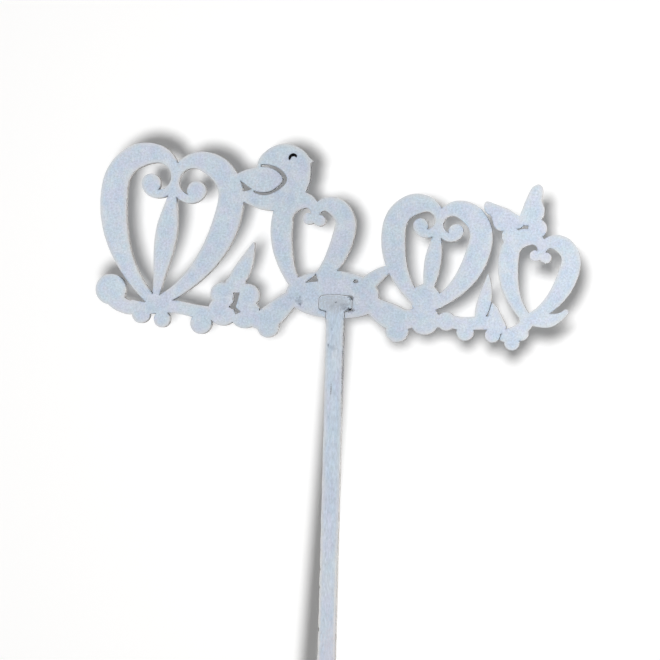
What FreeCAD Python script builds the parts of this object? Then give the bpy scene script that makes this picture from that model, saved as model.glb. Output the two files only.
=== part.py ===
"""Cake topper: a laser-cut plywood ornament that locks onto a flat plywood leg.

The ornament is one fretwork plate: four calligraphic scroll hearts on a garland, with a
bird, two butterflies, leaves and a solid pad in the middle.  The leg is a strip whose
T-shaped head is pressed flush into a matching socket in the pad, like a jigsaw lock.
Both are cut from the same three-ply sheet, and each ply is a piece of its own.

Units are millimetres.  X runs to the right of the plate, Z up the leg and Y from the
plate's face to its back.  The origin is the tip of the leg.  The fretwork is drawn flat,
as (u, w) with u to the right and w up, from the middle of the lock.
"""
import FreeCAD
import Part
import math
import os

# ---- sheet ------------------------------------------------------------------
SHEET = 3.0                   # whole thickness of the plywood
FACE_PLY = 0.6                # each outer ply; the core is what is left

# ---- leg and lock -----------------------------------------------------------
LEG_WIDTH = 5.0               # width of the strip
LEG_BELOW_PLATE = 120.0       # pad's lower edge to the tip of the leg
TIP_TAPER = 14.0              # height of the pointed end
TIP_WIDTH = 1.6               # width left at the blunt point
HEAD_WIDTH = 9.1              # T-head, across
HEAD_TOP = 1.8                # middle of the lock to the head's upper corners
HEAD_ARCH = 0.35              # rise of the head's top edge in its middle
HEAD_DROP = 1.9               # middle of the lock to the head's lower corners
SHOULDER_SLOPE = 0.5          # fall of the shoulders from the corners to the neck
HEAD_CORNER = 1.2             # rounding of the head's corners
SOCKET_CORNER = 0.6           # of the socket's right corners, which stand open; the left fit the head
NECK_CORNER = 0.35            # rounding where shoulder and neck meet
LOCK_CLEARANCE = 0.2          # gap all round between head and socket

# ---- pad --------------------------------------------------------------------
PAD_WIDTH = 26.0
PAD_HEIGHT = 13.2
PAD_BELOW_LOCK = 4.3          # middle of the lock to the pad's lower edge
PAD_OFFSET = -1.0             # middle of the pad, left of the leg
DROP_HOLE = 1.5               # half length of the pierced drops above the lock

# ---- scroll hearts, left to right: size, foot, and how far each flank turns ------
HAIRLINE = 2.4                # thinnest stroke, at the feet and curls
LOBE_SHARE = 0.62             # outer arc of a heart's lobe, as a share of its half width
TALL_HALF, TALL_STROKE, TALL_BALL = 16.6, 7.4, 2.7
TALL_U, TALL_W, TALL_LEAN_DEG = -51.0, -1.5, 8.0
TALL_FLANK_DEG = 56.0
TALL_BLADE = 6.0              # width of the leaf blade inside it
NEST_HALF, NEST_STROKE, NEST_BALL = 8.9, 6.0, 1.6
NEST_U, NEST_W, NEST_LEAN_DEG = -9.5, 2.0, 8.0
NEST_FLANK_DEG = 47.0
BROAD_HALF, BROAD_STROKE, BROAD_BALL = 12.2, 6.6, 2.1
BROAD_U, BROAD_W, BROAD_LEAN_DEG = 25.0, -1.0, 8.0
BROAD_FLANK_DEG = 60.0
BROAD_BLADE = 4.6
SMALL_HALF, SMALL_STROKE, SMALL_BALL = 8.6, 5.6, 1.5
SMALL_U, SMALL_W, SMALL_LEAN_DEG = 53.5, -3.5, 10.0
SMALL_FLANK_DEG = 53.0

# ---- bird and butterflies -----------------------------------------------------
BIRD_LENGTH = 21.0            # tail root to beak
WING_SLIT = 0.75              # widest part of the slit round the wing
UPPER_BUTTERFLY_SPAN = 17.0   # left wing tip to right lobe
LOWER_BUTTERFLY_SPAN = 13.0   # left lobe to right wing tip

# ---- garland and tendrils -----------------------------------------------------
VINE_WIDTH = 3.4
BERRY_RADIUS = 3.0            # of the large berries; the small ones are a share of it
BERRY_PITCH = 6.0             # between neighbouring berries
BERRY_BITE = 0.9              # how far a berry runs into the vine
BLOSSOM_U, BLOSSOM_W = -28.5, -1.0
PETAL_RADIUS = 4.2            # of the blossom's lower petals
TENDRIL_WIDTH = 4.0
TENDRIL_REACH = 9.2           # straight run of the left tendril before it curls
TENDRIL_BALL = 4.3
LEAF_LENGTH = 16.0
LEAF_WIDTH = 5.2

LOCK_HEIGHT = LEG_BELOW_PLATE + PAD_BELOW_LOCK      # tip of the leg to the middle of the lock
CORE_HALF = SHEET / 2 - FACE_PLY
UP = FreeCAD.Vector(0, 0, 1)


# ---- flat drawing tools ---------------------------------------------------------
def point(u, w):
    return FreeCAD.Vector(u, w, 0)


def polar(radius, degrees):
    return radius * math.cos(math.radians(degrees)), radius * math.sin(math.radians(degrees))


def curve(points, closed=False):
    """Smooth edge through the points."""
    spline = Part.BSplineCurve()
    spline.interpolate(Points=[point(*p[:2]) for p in points], PeriodicFlag=closed)
    return spline.toShape()


def face(edges):
    """Flat face that looks along +Z, whichever way its edges run."""
    wire = Part.Wire(edges)
    flat = Part.Face(wire)
    if flat.normalAt(0, 0).z < 0:
        wire.reverse()
        flat = Part.Face(wire)
    return flat


def polygon(points):
    return face(Part.makePolygon([point(*p) for p in points + points[:1]]).Edges)


def blob(points):
    """Face inside a smooth closed outline."""
    return face([curve(points, closed=True)])


def sliver(first, second):
    """Face between two smooth edges that run on one after the other."""
    ends = [Part.makeLine(point(*first[-1]), point(*second[0])),
            Part.makeLine(point(*second[-1]), point(*first[0]))]
    return face([curve(first), ends[0], curve(second), ends[1]])


def disc(u, w, radius):
    return face([Part.makeCircle(radius, point(u, w), UP)])


def oval(u, w, width, height, tilt=0.0):
    """Ellipse, its larger size first along the tilted axis."""
    ellipse = Part.Ellipse(point(u, w), max(width, height) / 2, min(width, height) / 2)
    shape = face([ellipse.toShape()])
    turn = tilt if width >= height else tilt + 90
    shape.rotate(point(u, w), UP, turn)
    return shape


def rounded(corners):
    """Face of a polygon whose corners (u, w, radius) are rounded."""
    arcs = []
    for i, (u, w, radius) in enumerate(corners):
        here = point(u, w)
        before = (point(*corners[i - 1][:2]) - here).normalize()
        after = (point(*corners[(i + 1) % len(corners)][:2]) - here).normalize()
        half = before.getAngle(after) / 2
        middle = (before + after).normalize()
        arcs.append((here + before * (radius / math.tan(half)),
                     here + middle * (radius / math.sin(half) - radius),
                     here + after * (radius / math.tan(half))))
    edges = []
    for i, (start, through, end) in enumerate(arcs):
        edges.append(Part.Arc(start, through, end).toShape())
        edges.append(Part.makeLine(end, arcs[(i + 1) % len(arcs)][0]))
    return face(edges)


def ease(widths, along):
    """Width at a fraction of the stroke, swelling smoothly between (fraction, width) pairs."""
    for (a, first), (b, second) in zip(widths, widths[1:]):
        if along <= b:
            return first + (second - first) * (1 - math.cos(math.pi * (along - a) / (b - a))) / 2
    return widths[-1][1]


def walk(start, heading, arcs):
    """Centreline of tangent arcs (radius, sweep), a sweep to the left being positive.

    Gives (u, w, heading in radians, fraction of the whole length) every 9 degrees or less.
    """
    u, w = start
    turn = math.radians(heading)
    total = sum(radius * abs(math.radians(sweep)) for radius, sweep in arcs)
    line = [(u, w, turn, 0.0)]
    done = 0.0
    for radius, sweep in arcs:
        side = math.copysign(1, sweep)
        centre_u = u - side * radius * math.sin(turn)
        centre_w = w + side * radius * math.cos(turn)
        steps = max(3, math.ceil(abs(sweep) / 9))
        for i in range(1, steps + 1):
            angle = turn + math.radians(sweep) * i / steps
            u = centre_u + side * radius * math.sin(angle)
            w = centre_w - side * radius * math.cos(angle)
            done_here = done + radius * abs(math.radians(sweep)) * i / steps
            line.append((u, w, angle, done_here / total))
        turn = angle
        done = done_here
    return line


def stroke(line, widths):
    """Pen stroke of swelling width along a centreline, with round ends."""
    left, right = [], []
    for u, w, turn, along in line:
        half = ease(widths, along) / 2
        left.append((u - half * math.sin(turn), w + half * math.cos(turn)))
        right.append((u + half * math.sin(turn), w - half * math.cos(turn)))
    tips = []
    for (u, w, turn, along), out in ((line[0], -1), (line[-1], 1)):
        half = out * ease(widths, along) / 2
        tips.append(point(u + half * math.cos(turn), w + half * math.sin(turn)))
    end = Part.Arc(point(*left[-1]), tips[1], point(*right[-1])).toShape()
    start = Part.Arc(point(*right[0]), tips[0], point(*left[0])).toShape()
    return face([curve(left), end, curve(right[::-1]), start])


def band(points, widths):
    """Stroke along a smooth line through the points."""
    spline = Part.BSplineCurve()
    spline.interpolate(Points=[point(*p) for p in points])
    first, last = spline.FirstParameter, spline.LastParameter
    steps = 4 * len(points)
    line = []
    for i in range(steps + 1):
        at = first + (last - first) * i / steps
        here = spline.value(at)
        along = spline.tangent(at)[0]
        line.append((here.x, here.y, math.atan2(along.y, along.x), i / steps))
    return stroke(line, widths)


def leaf(root, heading, size, bend):
    """Pointed leaf, a share of the full size, that bends to the left by so many degrees."""
    radius = size * LEAF_LENGTH / abs(math.radians(bend))
    return stroke(walk(root, heading, [(radius, bend)]),
                  [(0, 0.75 * HAIRLINE), (0.45, size * LEAF_WIDTH), (1, 0.2 * HAIRLINE)])


def between(start, end, share):
    return start + (end - start) * share


# ---- scroll hearts --------------------------------------------------------------
class Heart:
    """Open heart of two mirrored pen strokes that rise from one foot.

    Each stroke is a chain of tangent arcs: the flank, up to its widest place, the lobe's
    outer and inner arcs, down to the notch, and the curl, which ends in a ball.  The curl's
    arcs are (share of the half width, sweep).
    """

    def __init__(self, u, w, lean, half, pen, ball, flank_turn, curl):
        self.u, self.w, self.lean = u, w, math.radians(-lean)
        self.half, self.pen, self.ball = half, pen, ball
        self.flank_turn = flank_turn
        self.flank = half / (1 - math.cos(math.radians(flank_turn)))
        self.outer = half * LOBE_SHARE
        self.inner = half - self.outer
        self.curl = [(half * share, sweep) for share, sweep in curl]
        self.waist = self.flank * math.sin(math.radians(flank_turn))
        self.notch = self.waist + self.outer - self.inner

    def place(self, x, y):
        """Point of the leaning heart's own frame, in the plate's."""
        cos, sin = math.cos(self.lean), math.sin(self.lean)
        return self.u + cos * x - sin * y, self.w + sin * x + cos * y

    def shoulder(self, degrees):
        """Point on the right lobe's outer edge, at an angle above level."""
        x, y = polar(self.outer + self.pen / 2, degrees)
        return self.place(self.inner + x, self.waist + y)

    def faces(self):
        arcs = [(self.flank, -self.flank_turn), (self.outer, -90), (self.inner, -90)] + self.curl
        length = [radius * math.radians(-sweep) for radius, sweep in arcs]
        flank_end = length[0] / sum(length)
        lobe_middle = (length[0] + 0.6 * length[1]) / sum(length)
        notch = sum(length[:3]) / sum(length)
        widths = [(0, 1.25 * HAIRLINE), (0.86 * flank_end, self.pen),
                  (lobe_middle, 0.9 * self.pen), (notch, HAIRLINE), (1.001, HAIRLINE)]
        left = walk((0, 0), 90 + self.flank_turn, arcs)
        inset = self.ball - HAIRLINE / 2
        both = []
        for side in (1, -1):
            line = []
            for x, y, turn, along in left:
                mirrored = turn if side > 0 else math.pi - turn
                line.append((*self.place(side * x, y), mirrored + self.lean, along))
            end_x, end_y, turn, _ = left[-1]
            ball = self.place(side * (end_x + inset * math.sin(turn)), end_y - inset * math.cos(turn))
            both += [stroke(line, widths), disc(*ball, self.ball)]
        return both

    def blade(self, width):
        """Leaf blade from the foot to the notch."""
        line = [(*self.place(0, y), self.lean + math.pi / 2, y / self.notch)
                for y in (self.notch * i / 10 for i in range(11))]
        return stroke(line, [(0, 0.75 * HAIRLINE), (0.56, width), (1, 0.6 * HAIRLINE)])


BIG_CURL = [(0.29, -90), (0.2, -70)]
LITTLE_CURL = [(0.21, -80)]
TALL = Heart(TALL_U, TALL_W, TALL_LEAN_DEG, TALL_HALF, TALL_STROKE, TALL_BALL,
             TALL_FLANK_DEG, BIG_CURL)
NEST = Heart(NEST_U, NEST_W, NEST_LEAN_DEG, NEST_HALF, NEST_STROKE, NEST_BALL,
             NEST_FLANK_DEG, LITTLE_CURL)
BROAD = Heart(BROAD_U, BROAD_W, BROAD_LEAN_DEG, BROAD_HALF, BROAD_STROKE, BROAD_BALL,
              BROAD_FLANK_DEG, BIG_CURL)
SMALL = Heart(SMALL_U, SMALL_W, SMALL_LEAN_DEG, SMALL_HALF, SMALL_STROKE, SMALL_BALL,
              SMALL_FLANK_DEG, LITTLE_CURL)


# ---- creatures ------------------------------------------------------------------
def drawn(points, at, scale):
    """Outline points in millimetres from an anchor, moved to it and scaled."""
    return [(at[0] + scale * u, at[1] + scale * w) for u, w in points]


def bird(perch):
    """Small bird facing right, its tail and wing tip against the tall heart.

    Gives the faces to add, the slit round the wing, and the eye.
    """
    scale = BIRD_LENGTH / 21.0
    body = [(4, 5), (4.8, 7.7), (6.7, 9.7), (9.2, 11.1), (12.2, 11.5), (14.9, 10.9), (17.3, 9.3),
            (18.6, 7.3), (19, 4.6), (18.9, 1.9), (18.2, -0.6), (16.8, -3.6), (14.7, -5.6),
            (11.7, -6.9), (8.2, -7.2), (4.2, -6.6), (1.2, -5.3), (-1.4, -3.4), (0.2, -2),
            (2, -1.6), (3.6, 1.2)]
    beak = [(18, 8.3), (19.7, 6.9), (18.5, 5.9)]
    wing = [(-1.8, 2.8), (1.2, 4.2), (4.2, 4.8), (7.2, 4.7), (9.6, 3.6), (11, 1.7), (9.6, -0.4),
            (7.2, -1.7), (4.7, -1.8), (2.2, -1), (0.2, 0.4)]
    slit_inner = [(3.2, -1.7), (4.6, -2.05), (6.4, -2.1), (8.5, -1.4), (10.5, 0.2), (11.2, 1.7),
                  (10.6, 2.9), (9, 4.2), (6.9, 4.9), (5, 5)]
    grow = WING_SLIT
    slit_outer = [(5, 5 + 0.8 * grow), (7.2, 4.9 + 0.9 * grow),
                  (9.8 + 0.2 * grow, 4.2 + 0.7 * grow), (11.2 + grow, 2.4 + 0.7 * grow),
                  (11.4 + 1.4 * grow, 1.6), (10.7 + 0.8 * grow, -0.1 - 0.4 * grow),
                  (8.8 + 0.3 * grow, -1.3 - grow), (6.2, -2.2 - 0.9 * grow),
                  (4.4, -2.1 - 0.7 * grow), (3.2, -1.7 - 0.5 * grow)]
    lid = [(12.8, 7.3), (13, 8.2), (13.7, 8.8), (14.5, 8.8), (15.1, 8.2)]
    under_lid = [(15, 7.8), (14.3, 8.1), (13.75, 8), (13.4, 7.6), (13.1, 7)]
    add = [blob(drawn(body, perch, scale)), blob(drawn(wing, perch, scale)),
           polygon(drawn(beak, perch, scale))]
    slit = sliver(drawn(slit_outer, perch, scale), drawn(slit_inner, perch, scale))
    return add, slit, sliver(drawn(lid, perch, scale), drawn(under_lid, perch, scale))


def upper_butterfly(perch):
    """Butterfly with raised wings, on the broad heart's shoulder."""
    scale = UPPER_BUTTERFLY_SPAN / 17.0
    left_wing = [(-2.4, 5.5), (-2, 7.4), (1, 6.7), (4.5, 5.4), (7.2, 3.7), (9, 2.5), (8, 0.5),
                 (5, 0), (2, -0.6), (0.4, 0.7), (-0.6, 3.5)]
    right_wing = [(7.4, 3.5), (8.3, 6.3), (9.7, 9.8), (11.3, 12.1), (12.8, 12.4), (13.6, 11.3),
                  (13.4, 8.5), (14.2, 5.5), (13.3, 2.7), (10.5, 1.1), (8, 1.5)]
    u, w = perch
    return [blob(drawn(left_wing, perch, scale)), blob(drawn(right_wing, perch, scale)),
            disc(u + 5.2 * scale, w - 2 * scale, 2.6 * scale),
            disc(u + 12.4 * scale, w + 0.3 * scale, 2.6 * scale)]


def lower_butterfly(perch):
    """Smaller butterfly that hangs under the small heart's foot."""
    scale = LOWER_BUTTERFLY_SPAN / 13.0
    left_wing = [(-9.5, 4.4), (-8.1, 2.7), (-6.9, 0.3), (-5.9, -2.5), (-7.5, -4.1), (-9.9, -2.7),
                 (-11.1, -0.5), (-10.6, 2.3)]
    right_wing = [(-7.5, -5.1), (-5.9, -2.7), (-3.5, -1.5), (-0.5, 0.5), (1.7, -0.1), (0.3, -3),
                  (-2.5, -5.5), (-5, -6.3)]
    u, w = perch
    return [blob(drawn(left_wing, perch, scale)), blob(drawn(right_wing, perch, scale)),
            disc(u - 9.6 * scale, w - 4.4 * scale, 2.1 * scale),
            disc(u - 4.2 * scale, w - 6.4 * scale, 2.1 * scale),
            disc(u - 1.7 * scale, w - 3.8 * scale, 2.0 * scale)]


# ---- garland --------------------------------------------------------------------
PAD_LEFT = PAD_OFFSET - PAD_WIDTH / 2
PAD_RIGHT = PAD_OFFSET + PAD_WIDTH / 2


def vine(start, end, drops):
    """Wavy band from one u to another, its drops below the lock in vine widths."""
    last = len(drops) - 1
    line = [(between(start, end, i / last), -drop * VINE_WIDTH) for i, drop in enumerate(drops)]
    return band(line, [(0, VINE_WIDTH), (1, 1.1 * VINE_WIDTH)])


def berry(u, drop, size=1.0):
    """Round berry, a share of the full size, under a vine that runs at the given drop."""
    radius = size * BERRY_RADIUS
    return disc(u, BERRY_BITE - (drop + 0.5) * VINE_WIDTH - radius, radius)


def petal(u, w, size=1.0):
    """Petal, a share of the full size, at so many petal radii from the blossom's middle."""
    return disc(BLOSSOM_U + u * PETAL_RADIUS, BLOSSOM_W + w * PETAL_RADIUS, size * PETAL_RADIUS)


def left_garland():
    arm = band([(BLOSSOM_U + PETAL_RADIUS, -1.35 * VINE_WIDTH),
                (PAD_LEFT - 0.92 * BERRY_PITCH, -1.47 * VINE_WIDTH),
                (PAD_LEFT - 0.27 * BERRY_PITCH, -0.6 * VINE_WIDTH),
                (PAD_LEFT + 0.6 * BERRY_PITCH, 0.47 * VINE_WIDTH)],
               [(0, 1.2 * VINE_WIDTH), (0.4, 1.9 * VINE_WIDTH), (1, 1.3 * VINE_WIDTH)])
    return [vine(TALL_U - BERRY_PITCH, BLOSSOM_U - 0.6 * PETAL_RADIUS, [0.7, 0.8, 0.65, 0.85, 1.1, 1.0]),
            berry(TALL_U - 0.63 * BERRY_PITCH, 0.35, 0.85),
            berry(TALL_U + 0.37 * BERRY_PITCH, 0.8, 0.77),
            berry(between(TALL_U, BLOSSOM_U, 0.59), 0.85),
            berry(PAD_LEFT - 0.8 * BERRY_PITCH, 1.0),
            arm, petal(-0.74, -0.48), petal(0.74, -0.62), petal(-0.83, 0.62, 0.78),
            petal(0.9, 0.57, 0.78), petal(0.05, 1.17, 0.72),
            leaf((BLOSSOM_U - 0.5 * PETAL_RADIUS, BLOSSOM_W + 0.7 * PETAL_RADIUS), 52, 1.0, 22)]


def blossom_heart():
    """Keyhole pierced in the middle of the blossom."""
    keyhole = [(-0.3, 3.1), (1.5, 3.1), (0.9, 0.5), (0.5, -1), (1.9, -2.2), (0.5, -3), (-0.1, -1.6),
               (-1.5, -1), (-0.3, 0.5)]
    return polygon(drawn(keyhole, (BLOSSOM_U, BLOSSOM_W), PETAL_RADIUS / 4.2))


def right_garland():
    arm = band([(PAD_RIGHT - 0.4 * BERRY_PITCH, 0.0),
                (PAD_RIGHT, -0.47 * VINE_WIDTH),
                (between(PAD_RIGHT, BROAD_U, 0.35), -1.12 * VINE_WIDTH),
                (BROAD_U - 0.5 * BERRY_PITCH, -1.06 * VINE_WIDTH)],
               [(0, 1.5 * VINE_WIDTH), (0.5, 2.1 * VINE_WIDTH), (1, 1.5 * VINE_WIDTH)])
    return [arm, vine(BROAD_U - 0.67 * BERRY_PITCH, SMALL_U - 0.65 * LOWER_BUTTERFLY_SPAN,
                      [1.2, 1.38, 1.28, 1.44, 1.36, 1.47]),
            berry(between(PAD_RIGHT, BROAD_U, 0.41), 1.0, 1.06),
            disc(BROAD_U, -1.25 * VINE_WIDTH, 0.97 * PETAL_RADIUS),
            disc(BROAD_U, 0.47 * VINE_WIDTH, PETAL_RADIUS),
            disc(BROAD_U + BERRY_PITCH, -1.3 * VINE_WIDTH, 0.62 * PETAL_RADIUS),
            berry(BROAD_U + 1.88 * BERRY_PITCH, 1.2, 0.8),
            berry(BROAD_U + 2.53 * BERRY_PITCH, 0.62, 0.58),
            leaf((between(BROAD_U, SMALL_U, 0.52), -1.2 * VINE_WIDTH), 70, 0.82, 18)]


def tendrils():
    left = walk((TALL_U + HAIRLINE, TALL_W - 0.4 * HAIRLINE), 186,
                [(TENDRIL_REACH / math.radians(8), -8), (1.3 * TENDRIL_BALL, -82)])
    ball = left[-1]
    right = walk((SMALL_U - 0.4 * HAIRLINE, SMALL_W + 0.1 * HAIRLINE), -6,
                 [(0.6 * TENDRIL_REACH / math.radians(6), 6), (1.9 * TENDRIL_BALL, 46)])
    return [stroke(left, [(0, HAIRLINE), (0.6, TENDRIL_WIDTH), (1, 1.5 * TENDRIL_WIDTH)]),
            disc(ball[0] - 0.1 * TENDRIL_BALL, ball[1], TENDRIL_BALL),
            stroke(right, [(0, 1.2 * HAIRLINE), (0.5, TENDRIL_WIDTH), (1, 0.4 * TENDRIL_WIDTH)])]


def pad():
    """Solid middle of the plate, with a leaf that leans on the broad heart."""
    return [oval(PAD_OFFSET, PAD_HEIGHT / 2 - PAD_BELOW_LOCK, PAD_WIDTH, PAD_HEIGHT),
            oval(PAD_OFFSET + 0.13 * PAD_WIDTH, 0.31 * PAD_HEIGHT - PAD_BELOW_LOCK,
                 0.71 * PAD_WIDTH, 0.62 * PAD_HEIGHT),
            leaf((PAD_OFFSET + 0.25 * PAD_WIDTH, 0.16 * PAD_HEIGHT), 50, 0.9, -24)]


def drop_holes():
    """Two pierced drops that flank the foot of the middle heart."""
    left = drawn([(0, 0), (2.9, 2.4), (3.5, 0.4)], (PAD_OFFSET - 0.29 * PAD_WIDTH, 0.41 * PAD_HEIGHT),
                 DROP_HOLE / 1.5)
    return [polygon(left), oval(PAD_OFFSET + 0.25 * PAD_WIDTH, 0.46 * PAD_HEIGHT,
                                0.9 * DROP_HOLE, 0.6 * DROP_HOLE)]


# ---- lock -----------------------------------------------------------------------
def leg_outline(grow, corners, foot):
    """T-head and strip, grown all round, with its right and left corners and the foot's corners."""
    half = HEAD_WIDTH / 2 + grow
    neck = LEG_WIDTH / 2 + grow
    top = HEAD_TOP + grow
    drop = -HEAD_DROP - grow
    right, left = ([(half, top, corner), (half, drop, 0.7 * corner),
                    (neck, drop - SHOULDER_SLOPE, NECK_CORNER)] + foot for corner in corners)
    arch = [(0, top + HEAD_ARCH, 4 * HEAD_WIDTH / 2)]
    return rounded(arch + right + [(-u, w, r) for u, w, r in reversed(left)])


def leg_face():
    tip = -LOCK_HEIGHT
    return leg_outline(0, (HEAD_CORNER, HEAD_CORNER),
                       [(LEG_WIDTH / 2, tip + TIP_TAPER, 2 * LEG_WIDTH),
                        (TIP_WIDTH / 2, tip, 0.3 * TIP_WIDTH)])


def socket_face():
    below = -PAD_BELOW_LOCK - LEG_WIDTH
    return leg_outline(LOCK_CLEARANCE, (SOCKET_CORNER, HEAD_CORNER + LOCK_CLEARANCE),
                       [(LEG_WIDTH / 2 + LOCK_CLEARANCE, below, NECK_CORNER)])


# ---- the fretwork ---------------------------------------------------------------
def united(faces):
    """One face of all the overlapping ones, drawn again from the edges of their border."""
    shell = faces[0].multiFuse(faces[1:])
    border = [edge for edge in shell.Edges if len(shell.ancestorsOfType(edge, Part.Face)) == 1]
    wires = [Part.Wire(edges) for edges in Part.sortEdges(border)]
    return Part.makeFace(wires, "Part::FaceMakerBullseye")


def plate_faces():
    """The fretwork of the front ply, with the eye engraved through it, and of the plies behind."""
    bird_faces, wing_slit, eye = bird(TALL.shoulder(24))
    added = [f for heart in (TALL, NEST, BROAD, SMALL) for f in heart.faces()]
    added += [TALL.blade(TALL_BLADE), BROAD.blade(BROAD_BLADE)] + pad() + bird_faces
    added += upper_butterfly(BROAD.shoulder(20)) + lower_butterfly((SMALL_U, SMALL_W))
    added += left_garland() + right_garland() + tendrils()
    cuts = drop_holes() + [wing_slit, blossom_heart(), socket_face()]
    behind = united(added).cut(Part.makeCompound(cuts))
    return behind.cut(eye), behind


# ---- plies ----------------------------------------------------------------------
def ply(flat, near, far):
    """Solid of the flat face from one depth to another, stood up on the leg's tip."""
    solid = flat.extrude(FreeCAD.Vector(0, 0, far - near))
    solid.translate(FreeCAD.Vector(0, 0, near))
    solid.rotate(point(0, 0), FreeCAD.Vector(1, 0, 0), 90)
    solid.translate(FreeCAD.Vector(0, 0, LOCK_HEIGHT))
    return solid


def main():
    os.makedirs("parts", exist_ok=True)
    depths = {"front": (CORE_HALF, SHEET / 2), "core": (-CORE_HALF, CORE_HALF),
              "back": (-SHEET / 2, -CORE_HALF)}
    front, behind = plate_faces()
    flats = {"plate": {"front": front, "core": behind, "back": behind},
             "leg": dict.fromkeys(depths, leg_face())}
    for piece, shapes in flats.items():
        for layer, (near, far) in depths.items():
            solid = ply(shapes[layer], near, far)
            box = solid.BoundBox
            print("%s_%s_ply: %d solid, %.1f x %.1f x %.1f mm, %.1f mm3, valid %s" % (
                piece, layer, len(solid.Solids), box.XLength, box.YLength, box.ZLength,
                solid.Volume, solid.isValid()))
            solid.exportStep("parts/%s_%s_ply.step" % (piece, layer))


main()
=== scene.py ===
"""A painted cake topper of laser-cut plywood: an ornament plate, and the leg that locks into its pad.

x runs to the right, y to the back and z up, and the leg's tip is at the origin. Sizes are in
millimetres unless a name says otherwise, and become metres where they go into a mesh or a lamp.
"""

import math

import bpy
import numpy as np
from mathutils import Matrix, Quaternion, Vector
from mathutils.geometry import delaunay_2d_cdt


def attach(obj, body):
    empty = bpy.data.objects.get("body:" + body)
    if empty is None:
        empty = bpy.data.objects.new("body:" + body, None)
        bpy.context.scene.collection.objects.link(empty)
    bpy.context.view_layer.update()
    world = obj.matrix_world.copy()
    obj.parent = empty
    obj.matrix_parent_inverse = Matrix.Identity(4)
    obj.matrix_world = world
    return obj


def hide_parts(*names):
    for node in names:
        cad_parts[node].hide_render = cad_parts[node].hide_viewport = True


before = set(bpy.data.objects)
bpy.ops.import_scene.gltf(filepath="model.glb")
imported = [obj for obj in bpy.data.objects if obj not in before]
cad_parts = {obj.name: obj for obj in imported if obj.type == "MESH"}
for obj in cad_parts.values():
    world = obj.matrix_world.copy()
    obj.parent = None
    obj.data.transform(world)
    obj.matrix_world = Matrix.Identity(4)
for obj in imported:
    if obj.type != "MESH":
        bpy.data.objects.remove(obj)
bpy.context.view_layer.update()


# ---- Plate core ply ---------------------------------------------------------------------------
# The thick middle layer of the ornament plate: birch veneer, cut by laser with the two face plies
# glued to it. Its burnt edge has shrunk back a little, and shows through thin paint.

MM = 0.001
SHEET = 3.0
FACE_PLY = 0.6
CORE_SHRINK = 0.05
SOOT_AND_SHADE_PROBES = (0.2, 0.4, 0.6, 0.8, 1.0, 1.3, 1.6)
CLEAN_GAP = 2.2

# A node's points are rounded to a fine grid, so that the ones that meet can be found. Points within
# SAME_PLANE of its steps have the same y.
GRID_PER_METRE = 1e8
GRID_STEP = 1e-5
SAME_PLANE = 100

# An outline is cut into steps. Where the cosine of its turn is less than SHARP_TURN, the walls meet in
# an edge. No more than MOST_PAIRS of points and edges are compared at once, and points closer than
# WELD are one.
OUTLINE_STEP = 0.5
SHARP_TURN = 0.93
LONGEST_MITRE = 2.0
MOST_PAIRS = 4000000
WELD = 1e-7


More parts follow.
